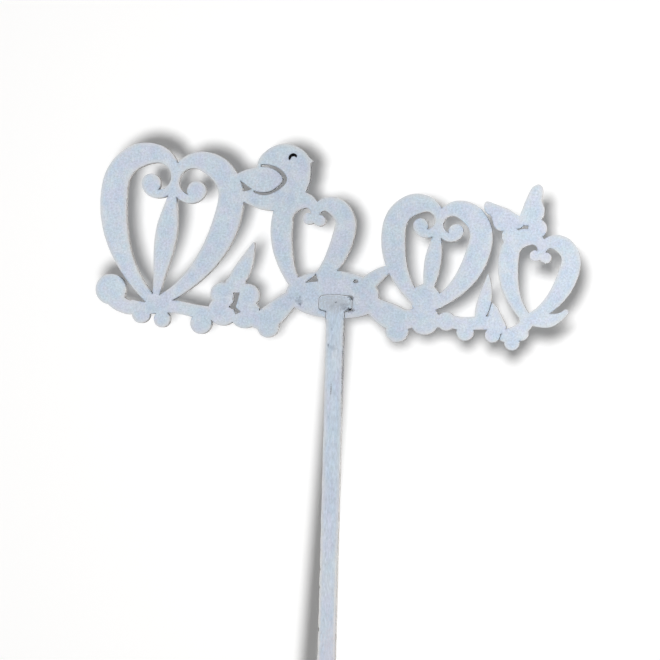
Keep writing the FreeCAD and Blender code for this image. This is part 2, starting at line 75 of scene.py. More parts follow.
class Outline:
    """The closed outlines of a ply as points (x, z), each with the number of the point after it.

    The ply's front face is the set of triangles on its lowest y. An edge that only one of them uses
    is a piece of the outline, and the wood lies on its left as seen from the front. Every edge is
    split into equal parts no longer than OUTLINE_STEP.
    """

    def __init__(self, node):
        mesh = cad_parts[node].data
        mesh.calc_loop_triangles()
        place = np.empty(len(mesh.vertices) * 3)
        mesh.vertices.foreach_get("co", place)
        corner = np.empty(len(mesh.loop_triangles) * 3, int)
        mesh.loop_triangles.foreach_get("vertices", corner)
        spot, same = np.unique(
            np.round(place.reshape(-1, 3) * GRID_PER_METRE).astype(np.int64), axis=0, return_inverse=True
        )
        same = same.reshape(-1)
        triangle = same[corner].reshape(-1, 3)
        front = triangle[(np.abs(spot[triangle][:, :, 1] - spot[:, 1].min()) < SAME_PLANE).all(axis=1)]
        points = spot[:, [0, 2]] * GRID_STEP
        a, b, c = (points[front[:, k]] for k in range(3))
        turned = np.cross(b - a, c - a) < 0
        front[turned] = front[turned][:, ::-1]
        edges = np.concatenate([front[:, [0, 1]], front[:, [1, 2]], front[:, [2, 0]]])
        one_way = edges[:, 0] * len(spot) + edges[:, 1]
        other_way = edges[:, 1] * len(spot) + edges[:, 0]
        edges = edges[~np.isin(one_way, other_way)]
        self.rough_start, self.rough_end = points[edges[:, 0]], points[edges[:, 1]]
        leaves = np.full(len(spot), -1)
        leaves[edges[:, 0]] = np.arange(len(edges))
        length = np.linalg.norm(self.rough_end - self.rough_start, axis=1)
        parts = np.maximum(1, np.ceil(length / OUTLINE_STEP).astype(int))
        first = np.cumsum(parts) - parts
        which = np.repeat(np.arange(len(edges)), parts)
        part = np.arange(parts.sum()) - first[which]
        share = (part / parts[which])[:, None]
        self.points = self.rough_start[which] * (1 - share) + self.rough_end[which] * share
        self.after = np.arange(parts.sum()) + 1
        last = part == parts[which] - 1
        self.after[last] = first[leaves[edges[which[last], 1]]]

    def edge_sides(self):
        """The unit direction out of the wood at each edge: its own direction turned a quarter right."""
        along = self.points[self.after] - self.points
        along /= np.linalg.norm(along, axis=1)[:, None]
        return np.stack([along[:, 1], -along[:, 0]], axis=1)

    def point_sides(self):
        """The mean of the two edges' outward directions at each point, not yet of unit length."""
        sides = self.edge_sides()
        mean = sides / 2
        mean[self.after] += sides / 2
        return mean

    def inset(self, depth):
        """The points moved into the wood until they are depth from both their edges: a mitre.

        The mean direction divided by its own squared length is the mitre, and its length has a limit.
        """
        mean = self.point_sides()
        square = (mean**2).sum(axis=1)
        mitre = mean / np.maximum(square, 1 / LONGEST_MITRE**2)[:, None]
        return self.points - mitre * np.reshape(depth, (-1, 1) if np.ndim(depth) else ())

    def without_small(self, least):
        """Which points are on loops that enclose at least that many square millimetres, and the number
        of the point after each, counting only those.

        Every loop is named by its lowest point number, found by steps that double in length; its
        area is half the sum of the cross products of its neighbours.
        """
        loop, jump = np.arange(len(self.after)), self.after
        for _ in range(int(np.log2(len(loop))) + 1):
            loop, jump = np.minimum(loop, loop[jump]), jump[jump]
        area = np.bincount(loop, np.cross(self.points, self.points[self.after]) / 2, len(loop))
        kept = np.abs(area[loop]) >= least
        number = np.cumsum(kept) - 1
        return kept, number[self.after[kept]]

    def to_edge(self, points):
        """The step from each point to the nearest spot of the outline, by way of its rough edges."""
        run = self.rough_end - self.rough_start
        square = (run**2).sum(axis=1)
        steps = []
        for some in np.array_split(points, max(1, len(points) * len(run) // MOST_PAIRS)):
            to = some[:, None] - self.rough_start[None]
            share = np.clip((to * run).sum(axis=2) / square, 0, 1)
            gap = share[:, :, None] * run - to
            nearest = (gap**2).sum(axis=2).argmin(axis=1)
            steps.append(gap[np.arange(len(some)), nearest])
        return np.concatenate(steps)

    def soot(self, others):
        """How sooty the cut is at each point, from 0 to 1, and how much painted shade it gets: the
        narrower the gap in front of it, the more.

        A probe stands off the wall by each of SOOT_AND_SHADE_PROBES. It counts one minus its distance to
        the nearest wall as a share of that, times one minus the probe as a share of CLEAN_GAP.
        """
        mean = self.point_sides()
        side = mean / np.linalg.norm(mean, axis=1)[:, None]
        most = np.zeros(len(side))
        for probe in SOOT_AND_SHADE_PROBES:
            at = self.points + probe * side
            near = np.min([np.linalg.norm(cut.to_edge(at), axis=1) for cut in (self, *others)], axis=0)
            most = np.maximum(most, (1 - near / probe) * (1 - probe / CLEAN_GAP))
        return np.clip(most, 0, 1)


def holds(start, end, points):
    """Whether the closed outlines from start to end hold each point: a line from it to the right
    crosses them an odd number of times."""
    rise = np.where(end[:, 1] == start[:, 1], 1.0, end[:, 1] - start[:, 1])
    slope = (end[:, 0] - start[:, 0]) / rise
    found = []
    for some in np.array_split(points, max(1, len(points) * len(start) // MOST_PAIRS)):
        up = some[:, None, 1]
        spans = (start[:, 1] > up) != (end[:, 1] > up)
        to_right = start[:, 0] + (up - start[:, 1]) * slope > some[:, None, 0]
        found.append((spans & to_right).sum(axis=1) % 2 == 1)
    return np.concatenate(found)


def fill(points, after, inner):
    """Triangles that fill the outline and pass through the inner points, turned anticlockwise.

    A triangle with all its corners on the rim may span a hole or a bay. It is kept if its middle is
    in the wood.
    """
    edges = np.stack([np.arange(len(points)), after], axis=1)
    every = np.concatenate([points, inner]) if len(inner) else points
    got = delaunay_2d_cdt(every.tolist(), edges.tolist(), [], 1, WELD)
    source = np.array([same[0] if same else -1 for same in got[3]])
    triangles = source[np.array(got[2])]
    triangles = triangles[(triangles >= 0).all(axis=1)]
    on_rim = (triangles < len(points)).all(axis=1)
    kept = ~on_rim
    kept[on_rim] = holds(points, points[after], every[triangles[on_rim]].mean(axis=1))
    triangles = triangles[kept]
    a, b, c = (every[triangles[:, k]] for k in range(3))
    turned = np.cross(b - a, c - a) < 0
    triangles[turned] = triangles[turned][:, ::-1]
    return triangles


def ply_mesh(name, rim, after, sides, inner, face_y, glue_y, drop, tilt, depth, soot):
    """A closed layer of wood: a face, a wall and a plain inner cap, made from one outline.

    A face point lies at face_y, sunk towards the inside by drop, and its normal leans outwards by
    the angle tilt. The wall goes straight from the rim's face points to glue_y. sides holds the
    outward direction of every wall edge and every face point; depth is kept as the attribute edge,
    and the soot, which also drives painted shade, as an attribute of its own.
    """
    n, m = len(rim), len(inner)
    inward = 1.0 if glue_y > face_y else -1.0
    flat = np.concatenate([rim, inner]) if m else rim
    face_points = np.stack([flat[:, 0], face_y + inward * drop, flat[:, 1]], axis=1)
    glue_points = np.stack([rim[:, 0], np.full(n, glue_y), rim[:, 1]], axis=1)
    here, ahead = np.arange(n), after
    face = fill(rim, after, inner)
    cap = (n + m + fill(rim, after, rim[:0]))[:, ::-1]
    wall = np.concatenate([
        np.stack([here, n + m + here, n + m + ahead], axis=1),
        np.stack([here, n + m + ahead, ahead], axis=1),
    ])
    edge_side, point_side = sides
    lean = np.sin(tilt)[:, None] * point_side
    face_normal = np.stack([lean[:, 0], -inward * np.cos(tilt), lean[:, 1]], axis=1)
    rim_side = point_side[:n]

    def wall_normal(end):
        """A wall's normal at one end of its edge: the rim's own there, unless the rim turns sharply."""
        keep = (rim_side[end] * edge_side).sum(axis=1) > SHARP_TURN
        side = np.where(keep[:, None], rim_side[end], edge_side)
        return np.stack([side[:, 0], np.zeros(n), side[:, 1]], axis=1)

    at_here, at_ahead = wall_normal(here), wall_normal(ahead)
    wall_normals = np.concatenate([
        np.stack([at_here, at_here, at_ahead], axis=1), np.stack([at_here, at_ahead, at_ahead], axis=1)
    ])
    cap_normals = np.broadcast_to([0.0, inward, 0.0], (len(cap), 3, 3))
    triangles = np.concatenate([face, wall, cap])
    normals = np.concatenate([face_normal[face], wall_normals, cap_normals])
    if inward < 0:
        triangles, normals = triangles[:, ::-1], normals[:, ::-1]
    mesh = bpy.data.meshes.new(name)
    points = np.concatenate([face_points, glue_points]) * MM
    mesh.from_pydata(points.tolist(), [], triangles.tolist())
    mesh.polygons.foreach_set("use_smooth", np.ones(len(triangles), bool))
    mesh.normals_split_custom_set(normals.reshape(-1, 3).tolist())
    for label, face_values, wall_values in (("edge", depth, np.zeros(n)), ("soot", soot, soot[:n])):
        kept = mesh.attributes.new(label, "FLOAT", "POINT")
        kept.data.foreach_set("value", np.concatenate([face_values, wall_values]).astype(np.float32))
    return mesh


def put_on(name, mesh, node, body, finish):
    """Shows the mesh in place of the CAD node, on the node's body, in the given finish."""
    piece = bpy.data.objects.new(name, mesh)
    bpy.context.scene.collection.objects.link(piece)
    mesh.materials.append(finish)
    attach(piece, body)
    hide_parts(node)


def srgb(red, green, blue):
    """A colour as a camera records it, 0 to 255, in the linear numbers that the shaders take."""
    share = np.array([red, green, blue]) / 255
    return [*np.where(share > 0.04045, ((share + 0.055) / 1.055) ** 2.4, share / 12.92), 1.0]


PERIWINKLE = srgb(190, 201, 215)
DOVE = srgb(194, 202, 212)
SKY = srgb(187, 201, 218)
LILAC = srgb(194, 198, 216)
ICE_BLUE = srgb(187, 204, 214)
CREAM = srgb(222, 219, 214)
TOASTED = srgb(128, 122, 118)
GLUE_LINE = srgb(148, 138, 128)
# Soot, and painted shade beside and inside narrow gaps.
SOOT_AND_SHADE = srgb(92, 98, 104)
# Black for the eye's burn, and for painted shade in the lock's open corners.
CHAR_AND_SHADE_BLACK = srgb(22, 24, 34)


class Nodes:
    """Adds nodes to one node tree, so that each line of a material or a group reads as one step."""

    def __init__(self, tree):
        self.tree = tree

    def add(self, kind, settings=None, **inputs):
        """A node of that kind, with settings on the node and a number or a link for each input.

        An input is given by its name, or by its number, as i0 or i1.
        """
        node = self.tree.nodes.new(kind)
        for key, value in (settings or {}).items():
            setattr(node, key, value)
        for key, value in inputs.items():
            socket = node.inputs[int(key[1:]) if key[1:].isdigit() else key]
            if isinstance(value, bpy.types.NodeSocket):
                self.link(value, socket)
            else:
                socket.default_value = value
        return node

    def link(self, output, socket):
        """Carries an output to an input."""
        self.tree.links.new(output, socket)

    def use(self, tree, **inputs):
        """The outputs of a node group placed here, with a number or a link for each input."""
        return self.add("ShaderNodeGroup", {"node_tree": tree}, **inputs).outputs

    def here(self):
        """The place on the piece, in metres from the leg's tip."""
        return self.add("ShaderNodeTexCoord").outputs["Object"]

    def axis(self, at, letter):
        """One coordinate of a place."""
        return self.add("ShaderNodeSeparateXYZ", Vector=at).outputs[letter]

    def kept(self, label):
        """A number kept at the mesh's points under that label."""
        return self.add("ShaderNodeAttribute", {"attribute_name": label}).outputs["Fac"]

    def math(self, step, a, b=0.0, c=0.0):
        """One number worked out of up to three."""
        return self.add("ShaderNodeMath", {"operation": step}, i0=a, i1=b, i2=c).outputs[0]

    def times(self, a, b):
        """The product of two numbers."""
        return self.math("MULTIPLY", a, b)

    def vector(self, step, a, b=(0.0, 0.0, 0.0)):
        """A vector worked out of two; the length step gives a number."""
        node = self.add("ShaderNodeVectorMath", {"operation": step}, i0=a, i1=b)
        return node.outputs["Value" if step == "LENGTH" else "Vector"]

    def noise(self, at, scale, detail=2.0, roughness=0.5):
        """Cloudy noise from 0 to 1, with about scale lumps to the metre."""
        return self.add(
            "ShaderNodeTexNoise", Vector=at, Scale=scale, Detail=detail, Roughness=roughness
        ).outputs["Fac"]

    def ramp(self, value, low, high, to_low=0.0, to_high=1.0):
        """The value carried smoothly from low..high to to_low..to_high."""
        return self.add(
            "ShaderNodeMapRange", {"interpolation_type": "SMOOTHSTEP"},
            i0=value, i1=low, i2=high, i3=to_low, i4=to_high,
        ).outputs[0]

    def mix(self, share, a, b, how="MIX"):
        """One colour laid over another by the share."""
        node = self.add("ShaderNodeMix", {"data_type": "RGBA", "blend_type": how}, i0=share, i6=a, i7=b)
        return node.outputs[2]


def group(name, inputs, outputs):
    """An empty node group with those named inputs and outputs, and its Nodes."""
    tree = bpy.data.node_groups.new(name, "ShaderNodeTree")
    for label, kind in inputs.items():
        tree.interface.new_socket(label, in_out="INPUT", socket_type="NodeSocket" + kind)
    for label, kind in outputs.items():
        tree.interface.new_socket(label, in_out="OUTPUT", socket_type="NodeSocket" + kind)
    nodes = Nodes(tree)
    return tree, nodes, nodes.add("NodeGroupInput").outputs, nodes.add("NodeGroupOutput").inputs


# The paint's lumps to the metre, how much each size turns the light or the colour, and the stretch of a
# noise, above and below its middle, over which a colour comes in.
CLOUDS, TINGES, BLOTCHES, SPECKS = 55.0, 280.0, 370.0, 1900.0
CLOUD_LIGHT, BLOTCH_LIGHT, SPECK_LIGHT = 0.1, 0.2, 0.8
MOST_TINGE = 0.6
UPWARDS, DOWNWARDS = (0.50, 0.64), (0.50, 0.36)


def mottle_group():
    """Sprayed paint: one noise turns the colour to dove grey or sky blue and another to lilac or ice
    blue, and three sizes of noise turn it up or down in light."""
    tree, nodes, given, out = group(
        "mottled_paint", {"Paint": "Color", "Stretch": "Vector", "Contrast": "Float"},
        {"Color": "Color", "Height": "Float"},
    )
    here = nodes.here()
    drawn = nodes.vector("MULTIPLY", here, given["Stretch"])
    cloud = nodes.noise(here, CLOUDS, detail=1.0)
    blotch = nodes.noise(drawn, BLOTCHES)
    speck = nodes.noise(drawn, SPECKS, detail=3.0, roughness=0.75)
    tinge = nodes.noise(drawn, TINGES, detail=3.0, roughness=0.6)
    colour = nodes.mix(nodes.ramp(blotch, *UPWARDS), given["Paint"], DOVE)
    colour = nodes.mix(nodes.ramp(blotch, *DOWNWARDS), colour, SKY)
    colour = nodes.mix(nodes.ramp(tinge, *UPWARDS, 0.0, MOST_TINGE), colour, LILAC)
    colour = nodes.mix(nodes.ramp(tinge, *DOWNWARDS, 0.0, MOST_TINGE), colour, ICE_BLUE)
    lift = nodes.math("MULTIPLY_ADD", blotch, BLOTCH_LIGHT, -(BLOTCH_LIGHT + SPECK_LIGHT) / 2)
    lift = nodes.math("MULTIPLY_ADD", speck, SPECK_LIGHT, lift)
    cloudy = nodes.math("MULTIPLY_ADD", cloud, CLOUD_LIGHT, 1 - CLOUD_LIGHT / 2)
    light = nodes.times(nodes.math("MULTIPLY_ADD", lift, given["Contrast"], 1.0), cloudy)
    shade = nodes.add("ShaderNodeCombineColor", Red=light, Green=light, Blue=light).outputs[0]
    nodes.link(nodes.mix(1.0, colour, shade, "MULTIPLY"), out["Color"])
    nodes.link(nodes.math("ADD", blotch, speck), out["Height"])
    return tree


RAGGED_LUMPS = 2400.0
RAGGED = 2.4
MARK_RIM = (1.3, 0.1)


def mark_group():
    """A knock, speck, streak, painted shade or painted light: a soft ellipse on the front, with an
    uneven rim, from 0 outside to 1.
    """
    tree, nodes, given, out = group("mark", {"Centre": "Vector", "Half": "Vector"}, {"Mask": "Float"})
    here = nodes.here()
    offset = nodes.vector("SUBTRACT", here, given["Centre"])
    away = nodes.vector("LENGTH", nodes.vector("DIVIDE", offset, given["Half"]))
    ragged = nodes.math("MULTIPLY_ADD", nodes.noise(here, RAGGED_LUMPS), RAGGED, -RAGGED / 2)
    nodes.link(nodes.ramp(nodes.math("ADD", away, ragged), *MARK_RIM), out["Mask"])
    return tree


MARK = mark_group()
LOCK_HEIGHT = 124.3
FRONT_ONLY, THROUGH = 1.0, 9.0
STRONG = 0.5

# A mark is (x, height from the lock, half width, half height, colour, strength). Here are the burn
# at the eye, painted shade in the lock's open right corners, and stretches where the cut wall is
# darker or paler: burnt wood and painted shade on the breast, painted shade on the upper leg, and
# painted light on the lower leg and the plate's right end.
BURNT_AND_SHADED_WALL = srgb(62, 64, 70)
EYE_CHAR = ((-13.3, 40.7, 2.6, 2.6, CHAR_AND_SHADE_BLACK, 1.0),)
CORNER_PAINTED_SHADE = ((4.1, -1.95, 1.3, 0.75, CHAR_AND_SHADE_BLACK, 1.0), (4.5, 1.35, 0.6, 0.6, srgb(70, 76, 88), 0.9))
WALL_TONES_AND_PAINTED_LIGHT = (
    (-8.1, 36.0, 3.4, 7.0, BURNT_AND_SHADED_WALL, 1.0),
    (-9.7, 31.0, 3.2, 5.0, BURNT_AND_SHADED_WALL, 1.0),
    (2.5, -17.0, 0.9, 17.0, srgb(66, 70, 78), 0.95),
    (2.5, -80.0, 0.9, 42.0, CREAM, 0.8),
    (60.0, 20.0, 9.0, 13.0, CREAM, 0.8),
)


def marked(nodes, colour, marks, reach):
    """The colour with each mark laid over it, and the sum of the strong marks, for the bump.

    A mark is an ellipse on the front that goes in by the reach.
    """
    deep = 0.0
    for x, up, half_width, half_height, shade, strength in marks:
        mark = nodes.use(
            MARK,
            Centre=(x * MM, -SHEET / 2 * MM, (LOCK_HEIGHT + up) * MM),
            Half=(half_width * MM, reach * MM, half_height * MM),
        )["Mask"]
        colour = nodes.mix(nodes.times(mark, strength), colour, shade)
        if strength > STRONG:
            deep = nodes.math("ADD", mark, deep)
    return colour, deep


# The wall's lumps to the metre, with a streak drawn out along y; the stretch of each noise that is
# toasted, and how much. The glue line fades out from its inner to its outer half width.
TOAST_PATCHES, STREAKS = 75.0, 1500.0
STREAK_STRETCH = (1.0, 0.08, 1.0)
PATCHED, PATCH_TOAST = (0.40, 0.62), 0.4
STREAKED, STREAK_TOAST = (0.42, 0.75), 0.35
PAINT_THINNED = 0.7
GLUE_OUTER, GLUE_INNER = 0.12, 0.03
GLUE_SHOWS = 0.8
SOOT_AND_SHADE_SPAN = (0.1, 0.6)


def cut_edge_group():
    """The laser-cut wall of the sheet under thin paint: toasted in patches, with streaks that run
    from face to face and a brown line where each face ply is glued, and sooty in narrow cuts, where
    the darkening is painted shade as well. Some stretches are painted darker as shade, others paler
    as light."""
    tree, nodes, given, out = group("cut_edge", {"Paint": "Color", "Soot": "Float"}, {"Color": "Color"})
    here = nodes.here()
    streak = nodes.noise(nodes.vector("MULTIPLY", here, STREAK_STRETCH), STREAKS)
    patch = nodes.noise(here, TOAST_PATCHES)
    thin = nodes.mix(PAINT_THINNED, given["Paint"], CREAM)
    streaky = nodes.ramp(streak, *STREAKED, 0.0, STREAK_TOAST)
    toast = nodes.math("MULTIPLY_ADD", nodes.ramp(patch, *PATCHED), PATCH_TOAST, streaky)
    across = nodes.math("ABSOLUTE", nodes.axis(here, "Y"))
    from_glue = nodes.math("ABSOLUTE", nodes.math("SUBTRACT", across, (SHEET / 2 - FACE_PLY) * MM))
    line = nodes.ramp(from_glue, GLUE_OUTER * MM, GLUE_INNER * MM, 0.0, GLUE_SHOWS)
    wood = nodes.mix(line, nodes.mix(toast, thin, TOASTED), GLUE_LINE)
    # Painted shade and painted light on some walls: the breast and upper leg walls painted darker, the
    # breast's also burnt, and the lower leg and right end walls painted paler.
    wall_toned_and_lit, _ = marked(nodes, wood, WALL_TONES_AND_PAINTED_LIGHT, THROUGH)
    # Soot and painted shade darken the walls in narrow cuts.
    sooty = nodes.mix(nodes.ramp(given["Soot"], *SOOT_AND_SHADE_SPAN), wall_toned_and_lit, SOOT_AND_SHADE)
    # The eye's burn, and painted shade on the walls at the lock's open right corners.
    charred_and_shaded, _ = marked(nodes, sooty, (*EYE_CHAR, *CORNER_PAINTED_SHADE), THROUGH)
    nodes.link(charred_and_shaded, out["Color"])
    return tree


MOTTLE = mottle_group()
CUT_EDGE = cut_edge_group()
ROUGHNESS = 0.72
SPECULAR = 0.25
EVEN = (1.0, 1.0, 1.0)
CORE_CONTRAST = 0.6
CORE_BUMP = 0.3
BUMP_DEPTH = 0.1


def finish(name):
    """A new matt material and its Nodes, with the shader's own settings that are the same all over."""
    material = bpy.data.materials.new(name)
    material.use_nodes = True
    nodes = Nodes(material.node_tree)
    shader = material.node_tree.nodes["Principled BSDF"]
    shader.inputs["Roughness"].default_value = ROUGHNESS
    shader.inputs["Specular IOR Level"].default_value = SPECULAR
    return material, nodes, shader


def core_finish():
    """The core's cut wall, with a shallow bump from the paint's own lumps."""
    material, nodes, shader = finish("painted_core")
    paint = nodes.use(MOTTLE, Paint=PERIWINKLE, Stretch=EVEN, Contrast=CORE_CONTRAST)
    wall = nodes.use(CUT_EDGE, Paint=paint["Color"], Soot=nodes.kept("soot"))
    bump = nodes.add("ShaderNodeBump", Height=paint["Height"], Strength=CORE_BUMP, Distance=BUMP_DEPTH * MM)
    nodes.link(wall["Color"], shader.inputs["Base Color"])
    nodes.link(bump.outputs["Normal"], shader.inputs["Normal"])
    return material


def core_piece(name, outline, shrink, soot):
    """A core ply: the outline drawn in by the shrink, with plain faces where the face plies are glued."""
    rim = outline.inset(shrink)
    mean = outline.point_sides()
    sides = outline.edge_sides(), mean / np.linalg.norm(mean, axis=1)[:, None]
    zero = np.zeros(len(rim))
    half = SHEET / 2 - FACE_PLY
    return ply_mesh(
        name, rim, outline.after, sides, rim[:0], -half, half, zero, zero + math.pi / 2, zero, soot
    )


CORE_FINISH = core_finish()

# The plate's core and back plies have one outline, and its front ply has the eye as well. All three
# plies of the leg have one outline.
behind_outline, leg_outline = Outline("plate_core_ply"), Outline("leg_core_ply")
behind_soot_and_shade = behind_outline.soot([leg_outline])
put_on(
    "ornament_core", core_piece("ornament_core", behind_outline, CORE_SHRINK, behind_soot_and_shade),
    "plate_core_ply", "plate", CORE_FINISH,
)


# ---- Plate face plies -------------------------------------------------------------------------
# The thin veneers on the front and back of the ornament plate. They carry the sprayed paint, and
# their cut edges are rubbed round with fine paper before painting.

EDGE_ROUND = 0.16
RIM_BAND = 0.5
FACE_GRID = 1.3
GRID_SLANT = 0.31
GRID_CLEAR = 0.9
RING_DEPTHS = (0.3 * EDGE_ROUND, EDGE_ROUND, RIM_BAND)
RING_SLACK = 0.97


def face_points(outline, soot):
    """Points inside the outline: rings at the ring depths, and a slanted grid further in.

    A ring point is kept where it really is that deep, so rings vanish where the wood is too narrow.
    It takes the soot and painted shade of the outline's point that it came from; the grid is clean.
    """
    low, high = outline.points.min(axis=0), outline.points.max(axis=0)
    x, z = np.meshgrid(np.arange(low[0], high[0], FACE_GRID), np.arange(low[1], high[1], FACE_GRID))
    grid = np.stack([(x + GRID_SLANT * (z - low[1])).ravel(), z.ravel()], axis=1)
    wide = high[0] - low[0]
    grid[:, 0] = low[0] + (grid[:, 0] - low[0]) % wide
    grid = grid[holds(outline.rough_start, outline.rough_end, grid)]
    rings = [outline.inset(depth) for depth in RING_DEPTHS]
    points = np.concatenate([*rings, grid])
    wanted = np.full(len(points), GRID_CLEAR)
    wanted[:len(points) - len(grid)] = np.repeat(RING_DEPTHS, len(outline.points))
    stain_and_shade = np.concatenate([np.tile(soot, len(RING_DEPTHS)), np.zeros(len(grid))])
    step = outline.to_edge(points)
    depth = np.linalg.norm(step, axis=1)
    kept = depth >= RING_SLACK * wanted
    return points[kept], depth[kept], step[kept] / depth[kept, None], stain_and_shade[kept]


def rounded(depth):
    """How far a face is sunk at that depth from its outline, and how far its normal leans: a quarter
    circle of radius EDGE_ROUND, then flat."""
    run = np.clip(1 - depth / EDGE_ROUND, 0, 1)
    return EDGE_ROUND * (1 - np.sqrt(1 - run**2)), np.arcsin(run)


class Face:
    """What the front and the back ply of one piece share: their points, depths and directions."""

    def __init__(self, outline, soot):
        self.outline = outline
        self.inner, depth, outward, stain_and_shade = face_points(outline, soot)
        self.depth = np.concatenate([np.zeros(len(outline.points)), depth])
        self.soot = np.concatenate([soot, stain_and_shade])
        mean = outline.point_sides()
        rim_side = mean / np.linalg.norm(mean, axis=1)[:, None]
        self.sides = outline.edge_sides(), np.concatenate([rim_side, outward])
        self.drop, self.tilt = rounded(self.depth)

    def ply(self, name, front, rim=None):
        """The front or the back ply's mesh; rim moves the outline's points a little, if given."""
        out, glue = SHEET / 2, SHEET / 2 - FACE_PLY
        where = (-out, -glue) if front else (out, glue)
        rim = self.outline.points if rim is None else rim
        return ply_mesh(
            name, rim, self.outline.after, self.sides, self.inner, *where,
            self.drop, self.tilt, self.depth, self.soot,
        )


WORN_PATCHES = 420.0
WORN_THROUGH = (0.42, 0.68)


def worn_edge_group():
    """Where paint is thin along the face's rim: a band that noise breaks up, from the edge distance."""
    tree, nodes, given, out = group("worn_edge", {"Edge": "Float", "Reach": "Float"}, {"Mask": "Float"})
    here = nodes.here()
    patch = nodes.noise(here, WORN_PATCHES, detail=3.0)
    near = nodes.math("SUBTRACT", 1.0, nodes.math("DIVIDE", given["Edge"], given["Reach"]))
    mask = nodes.times(nodes.ramp(near, 0.0, 1.0), nodes.ramp(patch, *WORN_THROUGH))
    nodes.link(mask, out["Mask"])
    return tree


WORN_EDGE = worn_edge_group()
THIN_PAINT = srgb(206, 206, 205)
# Pooled paint, painted paler as light that lifts the shade in narrow gaps.
POOLED_PAINT_AND_LIGHT = srgb(226, 232, 240)
DENT = srgb(112, 120, 136)
DEEP_DENT = srgb(84, 92, 106)

# Each band fades in from its first distance from the rim to its second, up to the share that follows.
# The wall's look comes in over WALL_BELOW, which is how far down from the face it starts and is full.
THIN_BAND, MOST_THIN = (1.5, -0.3), 0.65
WORN_REACH, MOST_BARE = 0.4, 0.5
STAIN_AND_SHADE_BAND, MOST_STAIN_AND_SHADE = (0.5, 0.05), 0.16
POOL_BAND, MOST_POOLED = (0.2, 0.08), 0.8
CHAR_BAND = (0.1, 0.02)
WALL_BELOW = (0.14, 0.2)

# Paint is clean, stained by soot and painted shade, or pooled and painted lighter, from its first
# amount of soot to its second.
CLEAN, STAINED_AND_SHADED, POOLED = (0.45, 0.15), (0.3, 0.55), (0.7, 0.85)

# Strong marks sink by DENT_DEPTH times the paint's own lumps. The plate's face is painted lighter
# towards both ends: painted light.
DENT_DEPTH = 2.0
FACE_BUMP = 0.28
PAINTED_LIGHT_ALONG_X = (
    (-68.0, 1.08), (-40.0, 1.03), (-12.0, 0.98), (8.0, 0.97), (23.0, 1.03), (40.0, 1.12),
    (57.0, 1.17), (68.0, 1.17),
)


def face_finish(name, stretch, contrast, marks, painted_light_along_x=None):
    """Paint on a face ply, thinner and greyer towards the rim, with its worn rim, soot and painted
    shade beside narrow gaps, pooled paint painted paler there, its cut wall and its marks.

    The (x, light) pairs, if given, are painted light that makes the face lighter or darker along x. A
    colour ramp stops at 1, so it holds half of each light, and the colour is doubled after it.
    """
    material, nodes, shader = finish(name)
    paint = nodes.use(MOTTLE, Paint=PERIWINKLE, Stretch=stretch, Contrast=contrast)
    edge, soot, here = nodes.kept("edge"), nodes.kept("soot"), nodes.here()
    clean = nodes.ramp(soot, *CLEAN)
    thin = nodes.times(nodes.ramp(edge, *THIN_BAND, 0.0, MOST_THIN), clean)
    colour = nodes.mix(thin, paint["Color"], THIN_PAINT)
    # Painted light: the face's colour is made lighter or darker along x.
    if painted_light_along_x:
        (left, _), (right, _) = painted_light_along_x[0], painted_light_along_x[-1]
        x = nodes.axis(here, "X")
        along = nodes.add("ShaderNodeMapRange", i0=x, i1=left * MM, i2=right * MM).outputs[0]
        bands = nodes.add("ShaderNodeValToRGB", i0=along)
        steps = bands.color_ramp.elements
        while len(steps) < len(painted_light_along_x):
            steps.new(0.5)
        for step, (at, light) in zip(steps, painted_light_along_x):
            step.position, step.color = (at - left) / (right - left), (light / 2, light / 2, light / 2, 1)
        colour = nodes.mix(1.0, colour, bands.outputs["Color"], "MULTIPLY")
        colour = nodes.mix(1.0, colour, (2.0, 2.0, 2.0, 1.0), "MULTIPLY")
    colour, dents = marked(nodes, colour, marks, FRONT_ONLY)
    worn = nodes.use(WORN_EDGE, Edge=edge, Reach=WORN_REACH)["Mask"]
    bare = nodes.times(nodes.times(worn, MOST_BARE), clean)
    colour = nodes.mix(bare, colour, CREAM)
    # Soot and painted shade darken the rim beside narrow gaps.
    stain_and_shade = nodes.times(nodes.ramp(edge, *STAIN_AND_SHADE_BAND), nodes.ramp(soot, *STAINED_AND_SHADED, 0.0, MOST_STAIN_AND_SHADE))
    colour = nodes.mix(stain_and_shade, colour, SOOT_AND_SHADE)
    # Painted light: pooled paint in the narrowest gaps is paler, lifting the shade there.
    pool_and_light = nodes.times(nodes.ramp(edge, *POOL_BAND), nodes.ramp(soot, *POOLED, 0.0, MOST_POOLED))
    colour = nodes.mix(pool_and_light, colour, POOLED_PAINT_AND_LIGHT)
    # Painted shade on the rims round the lock's open right corners, where shade falls into the gap.
    colour, _ = marked(nodes, colour, CORNER_PAINTED_SHADE, FRONT_ONLY)
    charred_and_shaded, _ = marked(nodes, colour, EYE_CHAR, THROUGH)
    colour = nodes.mix(nodes.ramp(edge, *CHAR_BAND), colour, charred_and_shaded)
    from_middle = nodes.math("ABSOLUTE", nodes.axis(here, "Y"))
    wall = nodes.ramp(from_middle, *((SHEET / 2 - depth) * MM for depth in WALL_BELOW))
    cut = nodes.use(CUT_EDGE, Paint=paint["Color"], Soot=soot)
    colour = nodes.mix(wall, colour, cut["Color"])
    height = nodes.math("MULTIPLY_ADD", dents, -DENT_DEPTH, paint["Height"])
    bump = nodes.add("ShaderNodeBump", Height=height, Strength=FACE_BUMP, Distance=BUMP_DEPTH * MM)
    nodes.link(colour, shader.inputs["Base Color"])
    nodes.link(bump.outputs["Normal"], shader.inputs["Normal"])
    return material


